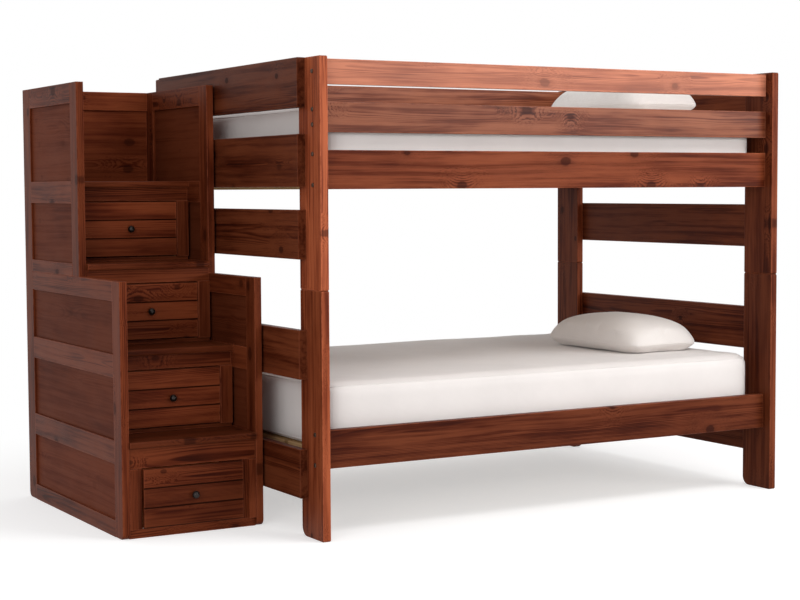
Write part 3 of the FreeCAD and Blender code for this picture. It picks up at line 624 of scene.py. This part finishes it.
first_low, first_high = (Vector(c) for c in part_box("lower_mattress"))
slab = mattress_form(first_low + Vector((SWELL, SWELL, 0.001)), first_high - Vector((SWELL, SWELL, SWELL)))
inflated(slab, 0.016, 2.0, SWELL)
floor_z = first_low.z
for v in slab.data.vertices:
    v.co.z = max(v.co.z, floor_z + 0.0005)
    v.co.x = min(max(v.co.x, first_low.x + 0.001), first_high.x - 0.001)
    v.co.y = min(max(v.co.y, first_low.y + 0.001), first_high.y - 0.001)
    wave = noise.noise(v.co * 2.3) * 0.004 + noise.noise(v.co * 6.0) * 0.0015
    if v.co.z > floor_z + 0.2:
        v.co.z += wave - 0.002
for mattress_name in ("lower_mattress", "upper_mattress"):
    mattress(mattress_name, slab)
bpy.data.objects.remove(slab)


# ---------------------------------------------------------------- pillows
PILLOW_SEAM = 0.24
OUTLINE_POWER = 5
PILLOW_CAP = 0.011
WELT_RADIUS = 0.0016


def pillow_form(low, high):
    """Pillow before it is plumped: two crowned sheets and a seam whose sides pull in between its corners."""
    centre, half = (low + high) / 2, (high - low) / 2
    n = 40
    top, bottom = {}, {}
    verts, faces = [], []

    def spot(u, v):
        m = max(abs(u), abs(v))
        reach = (abs(u) ** OUTLINE_POWER + abs(v) ** OUTLINE_POWER) ** (1 / OUTLINE_POWER)
        if reach > 0:
            u, v = u * m / reach, v * m / reach
        pinch_x = 1.0 - 0.045 * (1 - v ** 2) * abs(u) ** 6
        pinch_y = 1.0 - 0.055 * (1 - u ** 2) * abs(v) ** 6
        return u * half.x * pinch_x, v * half.y * pinch_y, m

    for i in range(n + 1):
        for j in range(n + 1):
            u, v = 2 * i / n - 1, 2 * j / n - 1
            u, v = math.sin(u * math.pi / 2), math.sin(v * math.pi / 2)
            x, y, m = spot(u, v)
            crown = max(0.0, 1 - m ** 2.3) ** 0.58
            seam = low.z + PILLOW_SEAM * (high.z - low.z)
            z_top = seam + (high.z - seam) * crown
            z_low = seam - (seam - low.z) * min(1.0, crown * 1.6)
            edge = i in (0, n) or j in (0, n)
            top[i, j] = len(verts)
            verts.append(Vector((centre.x + x, centre.y + y, seam if edge else z_top)))
            if edge:
                bottom[i, j] = top[i, j]
            else:
                bottom[i, j] = len(verts)
                verts.append(Vector((centre.x + x, centre.y + y, z_low)))
    for i in range(n):
        for j in range(n):
            faces.append((top[i, j], top[i + 1, j], top[i + 1, j + 1], top[i, j + 1]))
            faces.append((bottom[i, j + 1], bottom[i + 1, j + 1], bottom[i + 1, j], bottom[i, j]))
    return mesh_object("pillow_form", verts, faces, COTTON)


def seam_path(mesh, centre, count=180):
    """Outline of the pillow seen from above, as a closed path of its outermost points."""
    best = [None] * count
    for v in mesh.vertices:
        d = v.co - centre
        slot_index = int((math.atan2(d.y, d.x) + math.pi) / (2 * math.pi) * count) % count
        r = math.hypot(d.x, d.y)
        if best[slot_index] is None or r > best[slot_index][0]:
            best[slot_index] = (r, v.co.copy())
    path = [b[1] for b in best if b]
    for _ in range(3):
        path = [(path[i - 1] + path[i] * 2 + path[(i + 1) % len(path)]) / 4 for i in range(len(path))]
    return path


pillow_low, pillow_high = (Vector(c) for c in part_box("lower_pillow"))
plump = pillow_form(pillow_low + Vector((0.010, 0.012, 0.0)), pillow_high - Vector((0.010, 0.012, 0.012)))
inflated(plump, 0.0065, 4.0, PILLOW_CAP)
for v in plump.data.vertices:
    v.co.z = max(v.co.z, pillow_low.z + 0.0006)
pillow_centre = (pillow_low + pillow_high) / 2
welt_path = seam_path(plump.data, pillow_centre)
for pillow_name in ("lower_pillow", "upper_pillow"):
    low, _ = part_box(pillow_name)
    shift = Vector(low) - pillow_low
    cushion = bpy.data.objects.new("soft_" + pillow_name, plump.data.copy())
    scene.collection.objects.link(cushion)
    for v in cushion.data.vertices:
        v.co += shift
    cushion.data.materials.clear()
    cushion.data.materials.append(COTTON)
    smooth = cushion.modifiers.new("smooth", "SUBSURF")
    smooth.levels = 1
    smooth.render_levels = 1
    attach(cushion, ROOT)
    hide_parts(pillow_name)
    welt = ring_tube("welt_" + pillow_name, [p + shift for p in welt_path], WELT_RADIUS, COTTON, sides=8)
    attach(welt, ROOT)
bpy.data.objects.remove(plump)


# ---------------------------------------------------------------- floor and light
FLOOR_LIFT = 0.48
FLOOR_FADE = (1.7, 3.1)
SKY_LEVEL = 0.67
LAMPS = (
    ("key", (4.3, -6.0, 2.2), (0.4, 0.0, 1.1), (4.6, 0.75), 155),
    ("front_top", (1.2, -2.4, 3.3), (0.4, 0.0, 1.1), (2.4, 0.9), 44),
    ("left", (-5.0, -4.4, 2.0), (-0.4, 0.0, 0.7), (2.5, 2.0), 68),
)


def seen_directly(tree):
    """1 for camera, mirror-like and transmitted rays, 0 for the rays that light the object."""
    path = tree.nodes.new("ShaderNodeLightPath")
    total = path.outputs["Is Camera Ray"]
    for label in ("Is Glossy Ray", "Is Transmission Ray"):
        top = tree.nodes.new("ShaderNodeMath")
        top.operation = "MAXIMUM"
        tree.links.new(total, top.inputs[0])
        tree.links.new(path.outputs[label], top.inputs[1])
        total = top.outputs[0]
    return total


def stage():
    """Pale floor that keeps the shadow near the object and turns white further out."""
    s = Shader("floor")
    at = s.node("ShaderNodeTexCoord", out="Object")
    shade = s.noise(at, 0.6, 2.0)
    s.put(s.bsdf.inputs["Base Color"], s.mix(shade, (0.74, 0.74, 0.74), (0.72, 0.72, 0.72)))
    s.bsdf.inputs["Roughness"].default_value = 0.9
    s.bsdf.inputs["Specular IOR Level"].default_value = 0.0
    s.bsdf.inputs["Emission Color"].default_value = (1, 1, 1, 1)
    seen = seen_directly(s.tree)
    s.put(s.bsdf.inputs["Emission Strength"], s.math("MULTIPLY", seen, FLOOR_LIFT))
    far = s.vec("LENGTH", s.vec("MULTIPLY", at, (1.0, 1.15, 0.0)))
    fade = s.math("MULTIPLY", s.step(far, *FLOOR_FADE), seen)
    white = s.node("ShaderNodeEmission", {"Color": (1, 1, 1), "Strength": 1.0})
    blend = s.node("ShaderNodeMixShader", [fade, s.bsdf.outputs[0], white])
    s.put(s.tree.nodes["Material Output"].inputs["Surface"], blend)
    size = 40.0
    floor = mesh_object(
        "floor", [(-size, -size, 0), (size, -size, 0), (size, size, 0), (-size, size, 0)], [(0, 1, 2, 3)], s.mat
    )


def area_light(name, place, target, size, power_w):
    data = bpy.data.lights.new(name, "AREA")
    data.shape = "RECTANGLE"
    data.size, data.size_y = size
    data.energy = power_w
    obj = bpy.data.objects.new(name, data)
    scene.collection.objects.link(obj)
    obj.location = place
    obj.rotation_mode = "QUATERNION"
    obj.rotation_quaternion = (Vector(target) - Vector(place)).to_track_quat("-Z", "Y")


def world():
    w = bpy.data.worlds.new("studio")
    w.use_nodes = True
    scene.world = w
    t = w.node_tree
    back = t.nodes["Background"]
    strength = t.nodes.new("ShaderNodeMapRange")
    t.links.new(seen_directly(t), strength.inputs[0])
    strength.inputs[3].default_value = SKY_LEVEL
    strength.inputs[4].default_value = 1.0
    t.links.new(strength.outputs[0], back.inputs["Strength"])
    back.inputs["Color"].default_value = (1, 1, 1, 1)


stage()
world()
for lamp in LAMPS:
    area_light(*lamp)
scene.view_settings.view_transform = "Standard"
